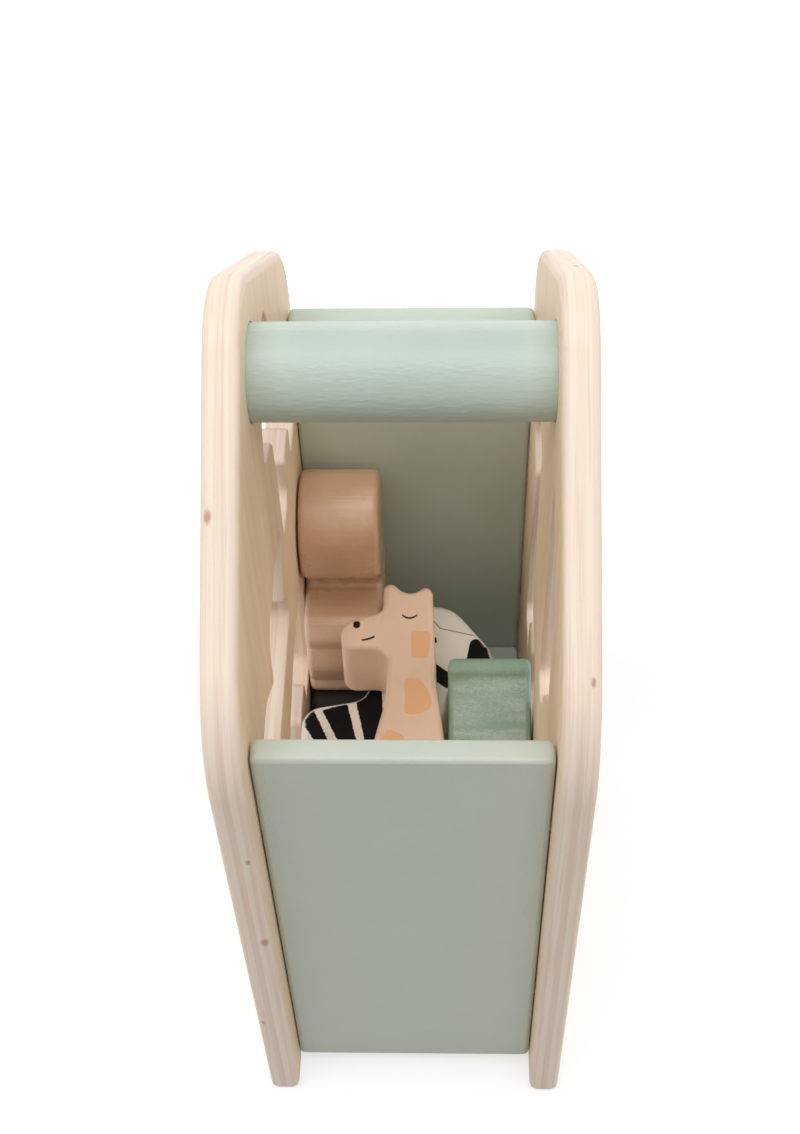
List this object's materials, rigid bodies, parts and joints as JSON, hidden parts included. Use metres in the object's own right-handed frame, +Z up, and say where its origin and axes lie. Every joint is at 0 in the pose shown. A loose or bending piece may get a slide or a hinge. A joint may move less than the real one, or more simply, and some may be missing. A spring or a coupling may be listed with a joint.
{
  "type": "shape sorter box",
  "caption": "House-shaped wooden shape sorter with plywood sides, sage green ends and bar handle, and animal blocks that fit cut-outs in the sides",
  "frame": {"origin": "on the table under the middle of the box", "axes": "X along the handle, Y from the front end panel to the rear one, Z up"},
  "size_m": [0.092, 0.177, 0.2603],
  "materials": {
    "plywood": "clear matt lacquer, light ply layers on the edges",
    "sage_paint": "satin sage green paint on wood",
    "beech": "bare turned beech",
    "giraffe_paint": "satin sand paint with orange patches",
    "zebra_paint": "satin white paint with black stripes",
    "lion_paint": "satin tan paint",
    "crocodile_paint": "satin green paint, rough on end grain",
    "elephant_paint": "satin grey paint"
  },
  "bodies": {
    "box": {"left_side_panel": "plywood", "right_side_panel": "plywood", "front_end_panel": "sage_paint", "rear_end_panel": "sage_paint", "base_panel": "sage_paint", "handle_dowel": "sage_paint", "front_lower_left_peg": "beech", "front_lower_right_peg": "beech", "front_upper_left_peg": "beech", "front_upper_right_peg": "beech", "rear_lower_left_peg": "beech", "rear_lower_right_peg": "beech", "rear_upper_left_peg": "beech", "rear_upper_right_peg": "beech", "base_front_left_peg": "beech", "base_front_right_peg": "beech", "base_rear_left_peg": "beech", "base_rear_right_peg": "beech"},
    "elephant": {"elephant_block": "elephant_paint"},
    "zebra": {"zebra_block": "zebra_paint"},
    "giraffe": {"giraffe_block": "giraffe_paint"},
    "lion": {"lion_block": "lion_paint"},
    "crocodile": {"crocodile_block": "crocodile_paint"}
  },
  "joints": [
    {"name": "elephant_slide", "type": "slide", "parent": "box", "child": "elephant", "axis": [0, -1, 0], "range_m": [0, 0.04]},
    {"name": "zebra_lift", "type": "slide", "parent": "box", "child": "zebra", "axis": [0, 0, 1], "range_m": [0, 0.025]},
    {"name": "giraffe_lift", "type": "slide", "parent": "zebra", "child": "giraffe", "axis": [0, 0, 1], "range_m": [0, 0.06]},
    {"name": "lion_lift", "type": "slide", "parent": "box", "child": "lion", "axis": [0, 0, 1], "range_m": [0, 0.11]},
    {"name": "crocodile_lift", "type": "slide", "parent": "box", "child": "crocodile", "axis": [0, 0, 1], "range_m": [0, 0.11]}
  ]
}
